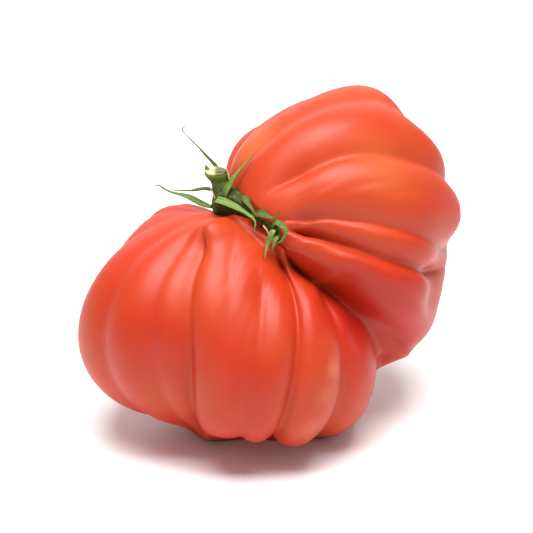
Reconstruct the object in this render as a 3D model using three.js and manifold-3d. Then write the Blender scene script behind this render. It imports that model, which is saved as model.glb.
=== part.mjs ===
import * as THREE from 'three';
import { mergeVertices } from 'three/addons/utils/BufferGeometryUtils.js';
import Module from 'manifold-3d';

// A large ribbed tomato of two lobes, as picked, lying on the cheek of its left lobe.
// Lengths are millimetres and angles are degrees. +X is right, +Y is back, +Z is up,
// and the origin is the middle of the small flat spot that the fruit rests on.

// Driving dimensions: how the fruit lies
const CENTRE_HEIGHT = 44.5;        // from the surface up to the fruit's middle
const REST_X = -3.5;               // the flat spot's middle, seen from the fruit's middle
const REST_Y = -6;
const LEAN = 36;                   // the stem axis leans this far to the left
const PITCH = 8.4;                 // and this far towards the front
const SPIN = 30;                   // the deep cleft is turned this far round the stem axis

// Driving dimensions: the lobes, as swellings in the fruit's own frame, whose z is the stem axis
// and whose -y is the cleft. Each has a centre, three half widths and a tilt about y.
const SWELLINGS = [
  { centre: [-27, 2, 7], half: [35, 33, 30], tilt: 45 },
  { centre: [-21.5, -5, -9], half: [35.5, 35, 30], tilt: 35 },
  { centre: [20, 3, 4], half: [35, 33, 32], tilt: -45 },
  { centre: [16.5, -1.5, -8.5], half: [34, 34, 28], tilt: -60 },
];
const BLEND_POWER = 22;            // higher makes a sharper valley between two swellings
const RIB_FULLNESS = 1.7;          // the ribs stand this far out of the swellings

// Low rises and dips of the flesh: turn round the stem axis, angle from the stem, height, spread
const RISES = [
  { turn: 55, down: 132, height: -5, spread: 14 },
  { turn: 92, down: 70, height: 3, spread: 12 },
  { turn: 111, down: 45, height: -3.8, spread: 14 },
  { turn: 140, down: 31, height: -5, spread: 8 },
  { turn: 78, down: 96, height: 4, spread: 15 },
  { turn: 70, down: 111, height: 2.6, spread: 9 },
  { turn: -158, down: 30, height: 3, spread: 6 },
  { turn: -146, down: 34, height: 6.5, spread: 12 },
  { turn: 171, down: 20, height: -9, spread: 12 },
  { turn: -122, down: 52, height: -4, spread: 9 },
  { turn: -105, down: 78, height: 3.2, spread: 19 },
  { turn: -94, down: 101, height: -1.5, spread: 9 },
  { turn: -76, down: 119, height: -8.5, spread: 13 },
  { turn: -66, down: 135, height: -3, spread: 9 },
  { turn: -71, down: 106, height: -3.6, spread: 9 },
  { turn: 13, down: 152, height: 3, spread: 8 },
  { turn: -8, down: 154, height: -5, spread: 7 },
  { turn: -3, down: 118, height: -3, spread: 8 },
  { turn: -119, down: 145, height: 2, spread: 22 },
  { turn: -43, down: 24, height: 6, spread: 9 },
];

// Creases between the ribs, in order round the fruit. Each runs from the stem scar towards the
// blossom end, and turns gives its turn round the stem axis at the four stations. Depth is in mm,
// half and soft are the widths of its sides and of its bottom in degrees, and start and end are
// shares of the way. The first is the cleft between the lobes.
const STATIONS = [0, 0.2, 0.5, 1];
const CREASES = [
  { turns: [-14, -8, 1, -4], depth: 7.5, half: 7, soft: 1, start: 0, end: 1 },
  { turns: [8, 8, 6, 14], depth: 4.5, half: 4, soft: 1.2, start: 0.42, end: 0.97 },
  { turns: [22, 16, 12, 34], depth: 1.8, half: 5, soft: 3, start: 0.36, end: 0.97 },
  { turns: [60, 43, 28, 52], depth: 6.5, half: 7, soft: 1.2, start: 0.03, end: 0.95 },
  { turns: [72, 57, 42, 66], depth: 4, half: 7, soft: 2, start: 0.03, end: 0.95 },
  { turns: [86, 72, 60, 77], depth: 0.8, half: 8, soft: 4, start: 0.03, end: 0.95 },
  { turns: [100, 86, 78, 89], depth: 4.6, half: 8, soft: 2.5, start: 0.03, end: 0.95 },
  { turns: [130, 109, 101, 107], depth: 2.8, half: 8, soft: 2, start: 0.03, end: 0.95 },
  { turns: [146, 126, 118, 123], depth: 2.8, half: 8, soft: 2.5, start: 0.07, end: 0.95 },
  { turns: [162, 142, 137, 140], depth: 3, half: 8, soft: 2.5, start: 0.07, end: 0.95 },
  { turns: [184, 164, 160, 158], depth: 3.4, half: 8, soft: 2, start: 0.07, end: 0.95 },
  { turns: [208, 191, 186, 178], depth: 4.5, half: 9, soft: 3, start: 0.05, end: 0.97 },
  { turns: [212, 206, 206, 196], depth: 3, half: 8, soft: 2.5, start: 0.07, end: 0.95 },
  { turns: [216, 218, 223, 212], depth: 2.8, half: 8, soft: 2.5, start: 0.07, end: 0.95 },
  { turns: [219, 232, 241, 225], depth: 2.8, half: 8, soft: 2.5, start: 0.07, end: 0.9 },
  { turns: [222, 248, 259, 237], depth: 2.8, half: 7, soft: 2, start: 0.05, end: 0.8 },
  { turns: [226, 261, 274, 248], depth: 3.2, half: 7, soft: 1.5, start: 0.03, end: 0.78 },
  { turns: [230, 271, 284, 258], depth: 5.5, half: 7.5, soft: 1.2, start: 0.03, end: 0.74 },
  { turns: [249, 289, 299, 269], depth: 1.6, half: 5, soft: 1.5, start: 0.03, end: 0.4 },
  { turns: [276, 306, 314, 280], depth: 2.2, half: 6, soft: 2, start: 0.12, end: 0.85 },
  { turns: [301, 330, 334, 297], depth: 5, half: 7, soft: 1, start: 0.03, end: 0.97 },
  { turns: [318, 344, 356, 308], depth: 6, half: 7, soft: 1, start: 0.42, end: 0.97 },
];
const CREASE_RISE = 0.14;          // share of the way over which a crease reaches its full depth
const CREASE_FALL = 0.22;          // and over which it fades out again

// The stem scar is a slot from the stalk towards the cleft, and the blossom end is one from side
// to side. Both are tangents of angles seen from the fruit's middle.
const STEM_SLOT_MIDDLE = 0.55;
const STEM_SLOT_HALF = 0.65;
const BLOSSOM_SLOT_HALF = 1.3;
const SCAR_RING = 0.035;           // share of the way at which the flesh meets the scar
const BLOSSOM_RING = 0.98;         // and at which the two sides of the blossom slot close on each other
const SCAR_DEPTH = 3;              // the scar's floor lies this far below its ring

// Facets of the fruit
const ROWS = 32;
const SCAR_ROWS = 2;
const DEGREES_PER_COLUMN = 3.8;
const LEAST_COLUMNS = 3;           // to each rib
const COLUMN_CROWDING = 0.05;      // columns stand closer at a rib's two creases
const NODE_GAP = 0.3;              // clear of the fruit, so that the calyx is a piece of its own

// The calyx: a low fleshy ridge along the scar. Points are x right, y back and z up from the
// fruit's middle, with half widths along the surface and upwards.
const RIDGE = [
  { at: [-18, 5, 17], across: 3.2, up: 2.6 },
  { at: [-17.5, -1, 19.5], across: 4.4, up: 3.2 },
  { at: [-14.6, -7, 23.2], across: 3.7, up: 3.8 },
  { at: [-8.4, -13, 22.6], across: 2.4, up: 2.3 },
  { at: [-3.6, -18.2, 20.8], across: 2.2, up: 2.1 },
  { at: [-2.5, -20, 17.8], across: 1.6, up: 1.4 },
];
const RIDGE_STEPS = 16;
const RIDGE_SIDES = 10;
const SEPAL_THICKNESS = 0.8;
const SEPAL_STEPS = 11;
const SEPAL_SIDES = 6;
// Shares of a sepal's full width and thickness, and of its length from root to tip
const SEPAL_ROOT_WIDTH = 0.62;
const SEPAL_TIP_WIDTH = 0.4;
const SEPAL_TIP_THICKNESS = 0.8;
const SEPAL_WIDEST = 0.33;
const SEPAL_TAPER_START = 0.45;
// Each sepal runs through points from its root, sunk in the ridge, to its tip.
const SEPALS = [
  {
    width: 1.5,
    path: [[-17, 4, 18.5], [-19, 5.5, 27], [-24, 8.5, 33.5], [-28.6, 11.5, 38], [-28.8, 12, 39.6]],
  },
  { width: 1.5, path: [[-17.5, 2, 20], [-22, 2.5, 23.4], [-27.5, 5.5, 21.8], [-33, 9, 20.5]] },
  {
    width: 1.7,
    path: [[-17.5, -1.5, 20], [-22.5, -3, 20.6], [-28, 0, 22.4], [-33, 2.4, 22.8], [-37.5, 4.5, 25]],
  },
  { width: 1.8, path: [[-16, -3, 21], [-17.6, -5.5, 27], [-14.6, -6.5, 32.8], [-9.8, -4, 37.8]] },
  {
    width: 2.3,
    path: [[-17, -3.5, 21], [-18.6, -6.6, 25.4], [-14.8, -11.2, 25], [-10.7, -15.2, 23.5],
      [-9.8, -17.2, 20.2]],
  },
  { width: 1.8, path: [[-14, -7, 23], [-12.4, -10.8, 27], [-10.6, -14, 25.6], [-8.8, -16.8, 23]] },
  {
    width: 1.7,
    path: [[-9.5, -13.5, 23], [-7.5, -17.6, 25.4], [-4.8, -19.2, 25], [-2.8, -19.6, 27.4]],
  },
  { width: 1.8, path: [[-5, -17.5, 21.5], [-3, -20.6, 24], [-0.8, -22.4, 22.6], [-3.2, -22.6, 19.6]] },
  {
    width: 1.7,
    path: [[-4, -18.5, 20.5], [-4.4, -21.6, 21.6], [-6, -21.8, 17.8], [-6.9, -23.8, 14.6]],
  },
  { width: 1.5, path: [[-3, -19, 19.5], [-2.6, -22, 20], [-4.2, -22.6, 16.2]] },
  { width: 1.7, path: [[-18, 4, 17.5], [-21, 8.5, 22], [-26, 13, 21]] },
  { width: 1.7, path: [[-16.5, 4, 18], [-13.5, 8.5, 25], [-12, 13.5, 30.5]] },
];

// The stalk: a stub that swells below its cut end and fans out into the ridge.
const STALK = [
  { at: [-17.4, -1.2, 22.7], wide: 4.5, deep: 3.1 },
  { at: [-17.9, -0.7, 24.8], wide: 3.8, deep: 2.7 },
  { at: [-18.7, -0.3, 26.8], wide: 3, deep: 2.4 },
  { at: [-19.7, 0, 28.3], wide: 2.9, deep: 2.7 },
  { at: [-20.2, 0, 29.6], wide: 3, deep: 2.9 },
  { at: [-20.3, 0, 30.3], wide: 2.5, deep: 2.4 },
];
const STALK_SIDES = 14;
const STALK_RIDGES = 5;
const STALK_RIDGE_HEIGHT = 0.05;   // share of the radius
const STALK_CUT_DISH = 0.3;        // the cut end is sunk this far in its middle

const radians = THREE.MathUtils.degToRad;
const smoothstep = THREE.MathUtils.smoothstep;
const lie = new THREE.Matrix4()
  .makeRotationX(radians(PITCH))
  .multiply(new THREE.Matrix4().makeRotationY(radians(-LEAN)))
  .multiply(new THREE.Matrix4().makeRotationZ(radians(SPIN)));
const fruitMiddle = new THREE.Vector3(-REST_X, -REST_Y, CENTRE_HEIGHT);

// A direction from the fruit's middle, by the turn round the stem axis and by the share of the
// way from the stem (0) to the blossom end (1). Lines of one turn fan out of the stem's slot and
// run together in the blossom's slot.
function direction(turn, way) {
  const ringWay = Math.max(way, SCAR_RING);
  const side = Math.sin(Math.PI * ringWay);
  const stem = Math.cos(Math.PI * ringWay / 2) ** 2;
  const sine = Math.sin(radians(turn));
  const cosine = Math.cos(radians(turn));
  const across = (side + (1 - stem) * BLOSSOM_SLOT_HALF) * sine;
  const forward = side * cosine + stem * (STEM_SLOT_MIDDLE + STEM_SLOT_HALF * cosine);
  const onRing = new THREE.Vector3(across, -forward, Math.cos(Math.PI * ringWay)).normalize();
  if (way < SCAR_RING) {
    const scarPole = new THREE.Vector3(0, -STEM_SLOT_MIDDLE, 1).normalize();
    return scarPole.lerp(onRing, way / SCAR_RING).normalize();
  }
  return onRing;
}

// The turn of a crease at a share of the way, on a cubic curve through its turns at the stations.
function creaseTurn(crease, way) {
  let total = 0;
  crease.turns.forEach((turn, index) => {
    const others = STATIONS.filter((station) => station !== STATIONS[index]);
    total += others.reduce((part, other) => part * (way - other) / (STATIONS[index] - other), turn);
  });
  return total;
}

function creaseDepth(crease, turn, way) {
  const apart = THREE.MathUtils.euclideanModulo(turn - creaseTurn(crease, way) + 180, 360) - 180;
  const rise = smoothstep(way, crease.start, crease.start + CREASE_RISE);
  const fall = 1 - smoothstep(way, crease.end - CREASE_FALL, crease.end);
  const side = Math.exp(-(Math.hypot(apart, crease.soft) - crease.soft) / crease.half);
  return crease.depth * rise * fall * side;
}

// How far a swelling reaches from the fruit's middle, which lies inside it, in a direction.
function swellingReach(swelling, towards) {
  const turnBack = new THREE.Matrix4().makeRotationY(radians(-swelling.tilt));
  const half = new THREE.Vector3(...swelling.half);
  const ray = towards.clone().applyMatrix4(turnBack).divide(half);
  const centre = new THREE.Vector3(...swelling.centre).applyMatrix4(turnBack).divide(half);
  const along = ray.dot(centre);
  const square = ray.lengthSq();
  return (along + Math.sqrt(along * along - square * (centre.lengthSq() - 1))) / square;
}

function riseHeight(rise, towards) {
  const peak = new THREE.Vector3().setFromSphericalCoords(1, radians(rise.down), radians(rise.turn));
  const cosine = towards.x * peak.x - towards.y * peak.z + towards.z * peak.y;
  return rise.height * Math.exp((cosine - 1) / (1 - Math.cos(radians(rise.spread))));
}

// A point of the skin as the fruit lies, or one that stands clear of it.
function skinPoint(turn, way, clear) {
  const towards = direction(turn, way);
  const powers = SWELLINGS.map((swelling) => swellingReach(swelling, towards) ** BLEND_POWER);
  let reach = powers.reduce((sum, power) => sum + power, 0) ** (1 / BLEND_POWER) + RIB_FULLNESS;
  for (const rise of RISES) {
    reach += riseHeight(rise, towards);
  }
  for (const crease of CREASES) {
    reach -= creaseDepth(crease, turn, way);
  }
  reach -= SCAR_DEPTH * (1 - smoothstep(way, 0, SCAR_RING));
  const point = towards.multiplyScalar(reach + clear).applyMatrix4(lie).add(fruitMiddle);
  point.z = Math.max(point.z, 0);
  return point;
}

function closedGeometry(points, triangles) {
  const geometry = new THREE.BufferGeometry();
  const flat = points.flatMap((point) => [point.x, point.y, point.z]);
  geometry.setAttribute('position', new THREE.Float32BufferAttribute(flat, 3));
  geometry.setIndex(triangles);
  geometry.computeVertexNormals();
  return geometry;
}

// Rings of points, each with the same count. One point closes the first ring, and either one
// more point or the given triangles of its own points close the last.
function ringedGeometry(rings, first, last) {
  const count = rings[0].length;
  const bottom = 1 + (rings.length - 1) * count;
  const points = [first, ...rings.flat()];
  const triangles = [];
  for (let column = 0; column < count; column += 1) {
    const next = (column + 1) % count;
    triangles.push(0, 1 + column, 1 + next);
    for (let row = 0; row + 1 < rings.length; row += 1) {
      const here = 1 + row * count;
      const below = here + count;
      triangles.push(here + column, below + column, below + next);
      triangles.push(here + column, below + next, here + next);
    }
    if (last.isVector3) {
      triangles.push(points.length, bottom + next, bottom + column);
    }
  }
  if (last.isVector3) {
    points.push(last);
  } else {
    triangles.push(...last.map((place) => bottom + place));
  }
  return closedGeometry(points, triangles);
}

// Triangles across the blossom slot, from one of its long sides to the other, as places in the
// last ring. They start at the slot's right end and each takes the nearer of the two next points.
function slotTriangles(turns) {
  const count = turns.length;
  const onRing = (place) => (place + count) % count;
  const across = (place) => Math.sin(radians(turns[onRing(place)]));
  const rightEnd = turns.reduce((best, turn, place) => (across(place) > across(best) ? place : best), 0);
  let ahead = rightEnd + 1;
  let behind = rightEnd - 1;
  const triangles = [onRing(ahead), rightEnd, onRing(behind)];
  while (ahead + 1 < behind + count) {
    if (across(ahead + 1) > across(behind - 1)) {
      triangles.push(onRing(ahead + 1), onRing(ahead), onRing(behind));
      ahead += 1;
    } else {
      triangles.push(onRing(ahead), onRing(behind), onRing(behind - 1));
      behind -= 1;
    }
  }
  return triangles;
}

// The columns of facets follow the creases, a few to each rib.
function ribColumns(way) {
  return CREASES.flatMap((crease, index) => {
    const next = CREASES[(index + 1) % CREASES.length];
    const lap = index + 1 === CREASES.length ? 360 : 0;
    const middleWidth = next.turns[2] + lap - crease.turns[2];
    const count = Math.max(LEAST_COLUMNS, Math.round(middleWidth / DEGREES_PER_COLUMN));
    const from = creaseTurn(crease, way);
    const to = creaseTurn(next, way) + lap;
    return Array.from({ length: count }, (_, step) => {
      const share = step / count;
      return from + (to - from) * (share - COLUMN_CROWDING * Math.sin(2 * Math.PI * share));
    });
  });
}

function fruitGeometry(clear) {
  const ways = [];
  for (let row = 1; row < SCAR_ROWS; row += 1) {
    ways.push(SCAR_RING * row / SCAR_ROWS);
  }
  for (let row = 0; row <= ROWS; row += 1) {
    ways.push(SCAR_RING + (BLOSSOM_RING - SCAR_RING) * row / ROWS);
  }
  const rings = ways.map((way) => ribColumns(way).map((turn) => skinPoint(turn, way, clear)));
  return ringedGeometry(rings, skinPoint(0, 0, clear), slotTriangles(ribColumns(BLOSSOM_RING)));
}

// A tapering body of oval section along a smooth curve. Its flat side faces the given way.
function taperedBody(curve, steps, sides, facing, halfWidths) {
  const rings = [];
  for (let step = 0; step <= steps; step += 1) {
    const share = step / steps;
    const middle = curve.getPointAt(share);
    const tangent = curve.getTangentAt(share);
    const wide = new THREE.Vector3().crossVectors(facing(middle), tangent).normalize();
    const thick = new THREE.Vector3().crossVectors(tangent, wide);
    const [halfWide, halfThick] = halfWidths(share);
    const ring = [];
    for (let side = 0; side < sides; side += 1) {
      const angle = 2 * Math.PI * side / sides;
      ring.push(middle.clone()
        .addScaledVector(wide, halfWide * Math.cos(angle))
        .addScaledVector(thick, halfThick * Math.sin(angle)));
    }
    rings.push(ring);
  }
  return ringedGeometry(rings.reverse(), curve.getPointAt(1), curve.getPointAt(0));
}

function curveThrough(points) {
  return new THREE.CatmullRomCurve3(points.map((point) => new THREE.Vector3(...point).add(fruitMiddle)));
}

function awayFromFruit(point) {
  return point.clone().sub(fruitMiddle).normalize();
}

function ridgeGeometry() {
  const curve = curveThrough(RIDGE.map((stop) => stop.at));
  const halfWidths = (share) => {
    const place = share * (RIDGE.length - 1);
    const index = Math.min(Math.floor(place), RIDGE.length - 2);
    const part = place - index;
    const mix = (key) => THREE.MathUtils.lerp(RIDGE[index][key], RIDGE[index + 1][key], part);
    return [mix('across'), mix('up')];
  };
  return taperedBody(curve, RIDGE_STEPS, RIDGE_SIDES, awayFromFruit, halfWidths);
}

// A sepal is a slim pointed blade, widest a third of the way out.
function sepalGeometry(sepal) {
  const halfWidths = (share) => {
    const bulge = Math.sin(Math.PI * Math.min(1, share / SEPAL_WIDEST / 2));
    const swell = THREE.MathUtils.lerp(SEPAL_ROOT_WIDTH, 1, bulge);
    const taper = 1 - (1 - SEPAL_TIP_WIDTH) * smoothstep(share, SEPAL_TAPER_START, 1);
    const thinning = THREE.MathUtils.lerp(1, SEPAL_TIP_THICKNESS, share);
    return [sepal.width / 2 * swell * taper, SEPAL_THICKNESS / 2 * thinning];
  };
  return taperedBody(curveThrough(sepal.path), SEPAL_STEPS, SEPAL_SIDES, awayFromFruit, halfWidths);
}

// The stalk at its own size, or larger by a gap all round.
function stalkGeometry(clear) {
  const rings = STALK.map((stop, index) => {
    const middle = new THREE.Vector3(...stop.at).add(fruitMiddle);
    middle.z += index === 0 ? -clear : clear;
    return Array.from({ length: STALK_SIDES }, (_, side) => {
      const angle = -2 * Math.PI * side / STALK_SIDES;
      const ridge = 1 + STALK_RIDGE_HEIGHT * Math.cos(STALK_RIDGES * angle);
      const across = (stop.wide * ridge + clear) * Math.cos(angle);
      const back = (stop.deep * ridge + clear) * Math.sin(angle);
      return new THREE.Vector3(across, back, 0).add(middle);
    });
  });
  const foot = new THREE.Vector3(...STALK[0].at).add(fruitMiddle);
  foot.z -= clear;
  const cut = new THREE.Vector3(...STALK[STALK.length - 1].at).add(fruitMiddle);
  cut.z += clear - STALK_CUT_DISH;
  return ringedGeometry(rings, foot, cut);
}

const wasm = await Module();
wasm.setup();

function toSolid(geometry) {
  const bare = geometry.clone();
  bare.deleteAttribute('normal');
  bare.deleteAttribute('uv');
  const merged = mergeVertices(bare);
  return new wasm.Manifold(new wasm.Mesh({
    numProp: 3,
    vertProperties: new Float32Array(merged.attributes.position.array),
    triVerts: new Uint32Array(merged.index.array),
  }));
}

function toGeometry(solid) {
  const mesh = solid.getMesh();
  const geometry = new THREE.BufferGeometry();
  geometry.setAttribute('position', new THREE.BufferAttribute(new Float32Array(mesh.vertProperties), 3));
  geometry.setIndex(new THREE.BufferAttribute(new Uint32Array(mesh.triVerts), 1));
  geometry.computeVertexNormals();
  return geometry;
}

const fruitRoom = toSolid(fruitGeometry(NODE_GAP));

// The calyx is the ridge with every sepal grown out of it, shaped below to sit on the fruit and
// with a hollow that the stalk's foot stands in.
function calyxGeometry() {
  let calyx = toSolid(ridgeGeometry());
  for (const sepal of SEPALS) {
    calyx = calyx.add(toSolid(sepalGeometry(sepal)));
  }
  return toGeometry(calyx.subtract(fruitRoom).subtract(toSolid(stalkGeometry(NODE_GAP))));
}

function fittedStalkGeometry() {
  return toGeometry(toSolid(stalkGeometry(0)).subtract(fruitRoom));
}

function piece(name, geometry, colour, roughness) {
  const material = new THREE.MeshStandardMaterial({ color: colour, roughness, metalness: 0 });
  const mesh = new THREE.Mesh(geometry, material);
  mesh.name = name;
  return mesh;
}

const tomato = new THREE.Group();
tomato.add(piece('fruit', fruitGeometry(0), 0xe8553c, 0.32));
tomato.add(piece('calyx', calyxGeometry(), 0x5a8f2f, 0.7));
tomato.add(piece('stalk', fittedStalkGeometry(), 0x7f9a48, 0.75));

export default tomato;
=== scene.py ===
import math

import bmesh
import bpy
from mathutils import Euler, Matrix, Vector


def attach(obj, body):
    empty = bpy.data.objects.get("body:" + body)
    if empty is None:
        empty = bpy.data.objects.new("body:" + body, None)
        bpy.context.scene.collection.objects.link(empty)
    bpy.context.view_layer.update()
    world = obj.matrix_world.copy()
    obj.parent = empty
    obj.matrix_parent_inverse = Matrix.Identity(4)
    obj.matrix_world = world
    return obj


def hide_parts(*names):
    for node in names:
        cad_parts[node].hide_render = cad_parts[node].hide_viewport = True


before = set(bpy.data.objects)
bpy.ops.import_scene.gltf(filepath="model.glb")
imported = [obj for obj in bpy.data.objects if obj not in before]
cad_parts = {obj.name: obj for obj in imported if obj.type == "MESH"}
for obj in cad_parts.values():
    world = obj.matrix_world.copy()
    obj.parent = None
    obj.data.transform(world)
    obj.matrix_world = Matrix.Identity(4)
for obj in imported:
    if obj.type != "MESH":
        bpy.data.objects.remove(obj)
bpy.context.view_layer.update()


# The fruit: a large ripe tomato that grew as one piece, with two lobes, a deep cleft between them
# and ribs that fan out of a long stem scar. Its skin is thin, taut and waxy, with orange streaks along
# the ribs. Painted highlight makes it paler on the rib crests and more orange higher up, and painted
# shade makes it deep red in the creases. It lies on the cheek of its left lobe.
MM = 0.001
FRUIT_MIDDLE = Vector((3.5, 6, 44.5)) * MM
LIE = (
    Matrix.Rotation(math.radians(8.4), 3, "X")
    @ Matrix.Rotation(math.radians(-36), 3, "Y")
    @ Matrix.Rotation(math.radians(30), 3, "Z")
)
FRUIT_ROWS = 250
FRUIT_COLUMNS_PER_DEGREE = 0.9
LEAST_COLUMNS = 9  # to each rib
ROW_CROWDING = 0.045  # rows stand closer at the stem and at the blossom
SCAR_RING = 0.035  # share of the way from stem to blossom at which the flesh meets the scar
BLOSSOM_RING = 0.98  # and at which the two sides of the blossom slot meet
STEM_SLOT_MIDDLE = 0.55
STEM_SLOT_HALF = 0.65
BLOSSOM_SLOT_HALF = 1.3
SCAR_DEPTH = 3
CREASE_RISE = 0.14  # share of the way over which a crease reaches its full depth
CREASE_FALL = 0.22  # and over which it fades out again
STATIONS = (0, 0.2, 0.5, 1)  # shares of the way at which the turns of a crease are given
RIB_FULLNESS = 1.7
BLEND_POWER = 22  # higher makes a sharper valley between two swellings
BLEND_SIZE = 40  # mm; reaches are raised to the blend power as shares of this
# The fold is also darker in the skin's colour, which is painted shade.
FOLD_HALF_WIDTH = 2.2  # degrees; the narrow dark fold at the bottom of a crease
FOLD_DEPTH = 0.45
SHALLOW_CREASE = 0.5  # mm; a crease shallower than this has no fold
FOLDED_CREASE = 5  # mm; a crease this deep has a full one
FINE_RELIEF = 0.64  # mm from the lowest to the highest of the fine lumps
LUMP_TOP = 0.87  # the fine relief only goes inwards, so the skin stays inside the part's own size

# Swellings: centre, half widths and tilt about y, in the fruit's own frame, in mm and degrees
SWELLINGS = [
    ((-27, 2, 7), (35, 33, 30), 45),
    ((-21.5, -5, -9), (35.5, 35, 30), 35),
    ((20, 3, 4), (35, 33, 32), -45),
    ((16.5, -1.5, -8.5), (34, 34, 28), -60),
]
# Rises and dips: turn round the stem axis, angle down from the stem, height in mm and spread
RISES = [
    (55, 132, -5, 14),
    (92, 70, 3, 12),
    (111, 45, -3.8, 14),
    (140, 31, -5, 8),
    (78, 96, 4, 15),
    (70, 111, 2.6, 9),
    (-158, 30, 3, 6),
    (-146, 34, 6.5, 12),
    (171, 20, -9, 12),
    (-122, 52, -4, 9),
    (-105, 78, 3.2, 19),
    (-94, 101, -1.5, 9),
    (-76, 119, -8.5, 13),
    (-66, 135, -3, 9),
    (-71, 106, -3.6, 9),
    (13, 152, 3, 8),
    (-8, 154, -5, 7),
    (-3, 118, -3, 8),
    (-119, 145, 2, 22),
    (-43, 24, 6, 9),
]
# Creases: turns at the stations, then depth, half width, softness, and the shares of the way at
# which it starts and ends
CREASES = [
    ((-14, -8, 1, -4), 7.5, 7, 1, 0, 1),
    ((8, 8, 6, 14), 4.5, 4, 1.2, 0.42, 0.97),
    ((22, 16, 12, 34), 1.8, 5, 3, 0.36, 0.97),
    ((60, 43, 28, 52), 6.5, 7, 1.2, 0.03, 0.95),
    ((72, 57, 42, 66), 4, 7, 2, 0.03, 0.95),
    ((86, 72, 60, 77), 0.8, 8, 4, 0.03, 0.95),
    ((100, 86, 78, 89), 4.6, 8, 2.5, 0.03, 0.95),
    ((130, 109, 101, 107), 2.8, 8, 2, 0.03, 0.95),
    ((146, 126, 118, 123), 2.8, 8, 2.5, 0.07, 0.95),
    ((162, 142, 137, 140), 3, 8, 2.5, 0.07, 0.95),
    ((184, 164, 160, 158), 3.4, 8, 2, 0.07, 0.95),
    ((208, 191, 186, 178), 4.5, 9, 3, 0.05, 0.97),
    ((212, 206, 206, 196), 3, 8, 2.5, 0.07, 0.95),
    ((216, 218, 223, 212), 2.8, 8, 2.5, 0.07, 0.95),
    ((219, 232, 241, 225), 2.8, 8, 2.5, 0.07, 0.9),
    ((222, 248, 259, 237), 2.8, 7, 2, 0.05, 0.8),
    ((226, 261, 274, 248), 3.2, 7, 1.5, 0.03, 0.78),
    ((230, 271, 284, 258), 5.5, 7.5, 1.2, 0.03, 0.74),
    ((249, 289, 299, 269), 1.6, 5, 1.5, 0.03, 0.4),
    ((276, 306, 314, 280), 2.2, 6, 2, 0.12, 0.85),
    ((301, 330, 334, 297), 5, 7, 1, 0.03, 0.97),
    ((318, 344, 356, 308), 6, 7, 1, 0.42, 0.97),
]


# Patches of painted shade, deep red where the lower right lobe and a rib beside the cleft lie in
# shade, and paler patches that ripened late, one of them a painted highlight: place from the
# fruit's middle, radius in mm and strength
# Painted shade on the lower right lobe and on the rib beside the cleft
SHADE_PATCHES = [
    ((27, -22, -10), 24, 0.6),
    ((14, -24, 8), 14, 0.3),
]
PALE_AND_HIGHLIGHT_PATCHES = [
    ((-10.8, 4.7, 38.2), 11, 0.5),
    # A painted highlight on the upper rib of the right lobe
    ((26.2, -8.3, 35.5), 14, 0.3),
    ((12, -38.4, -11.8), 4.5, 0.55),
    ((5.9, -41.6, -28), 5, 0.3),
    ((9.8, -41.7, -17.9), 5, 0.3),
]
PORES_PER_METRE = 900.0
BUMP_HEIGHT = 0.0002  # of the skin's grain, and of the roughness of the green parts


class Wire:
    """A value in a node tree. A sum written with it adds the Math nodes for that sum."""

    def __init__(self, tree, socket=None):
        self.tree = tree
        self.socket = socket

    def node(self, kind, settings=None, inputs=None, output=0):
        made = self.tree.nodes.new(kind)
        for name, value in (settings or {}).items():
            if name == "stops":
                set_stops(made.color_ramp, value)
            else:
                setattr(made, name, value)
        for name, value in (inputs or {}).items():
            if isinstance(value, Wire):
                self.tree.links.new(value.socket, made.inputs[name])
            else:
                made.inputs[name].default_value = value
        return Wire(self.tree, made.outputs[output])

    def math(self, operation, *terms):
        return self.node("ShaderNodeMath", {"operation": operation}, dict(enumerate(terms)))

    def vector(self, operation, *terms):
        output = 1 if operation in ("DOT_PRODUCT", "LENGTH") else 0
        inputs = {3: terms[1]} if operation == "SCALE" else dict(enumerate(terms[1:], 1))
        return self.node("ShaderNodeVectorMath", {"operation": operation}, {0: terms[0], **inputs}, output)

    def __add__(self, other):
        return self.math("ADD", self, other)

    def __radd__(self, other):
        return self.math("ADD", other, self)

    def __sub__(self, other):
        return self.math("SUBTRACT", self, other)

    def __rsub__(self, other):
        return self.math("SUBTRACT", other, self)

    def __mul__(self, other):
        return self.math("MULTIPLY", self, other)

    def __rmul__(self, other):
        return self.math("MULTIPLY", other, self)

    def __truediv__(self, other):
        return self.math("DIVIDE", self, other)

    def __rtruediv__(self, other):
        return self.math("DIVIDE", other, self)

    def __pow__(self, other):
        return self.math("POWER", self, other)

    def step(self, low, high):
        """0 below low, 1 above high and smooth between."""
        settings = {"interpolation_type": "SMOOTHSTEP"}
        return self.node("ShaderNodeMapRange", settings, {"Value": self, "From Min": low, "From Max": high})

    def ramp(self, low, high):
        """0 below low, 1 above high and straight between."""
        return self.node("ShaderNodeMapRange", {}, {"Value": self, "From Min": low, "From Max": high})

    def combine(self, x, y, z):
        return self.node("ShaderNodeCombineXYZ", {}, {"X": x, "Y": y, "Z": z})

    def blend(self, kind, factor, first, second):
        """first where the factor is 0 and second where it is 1; kind is VECTOR or RGBA."""
        place = {"VECTOR": (4, 5, 1), "RGBA": (6, 7, 2)}[kind]
        inputs = {0: factor, place[0]: first, place[1]: second}
        return self.node("ShaderNodeMix", {"data_type": kind}, inputs, place[2])


def set_stops(ramp, stops):
    while len(ramp.elements) < len(stops):
        ramp.elements.new(1)
    for element, (place, colour) in zip(ramp.elements, stops):
        element.position = place
        element.color = colour


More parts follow.
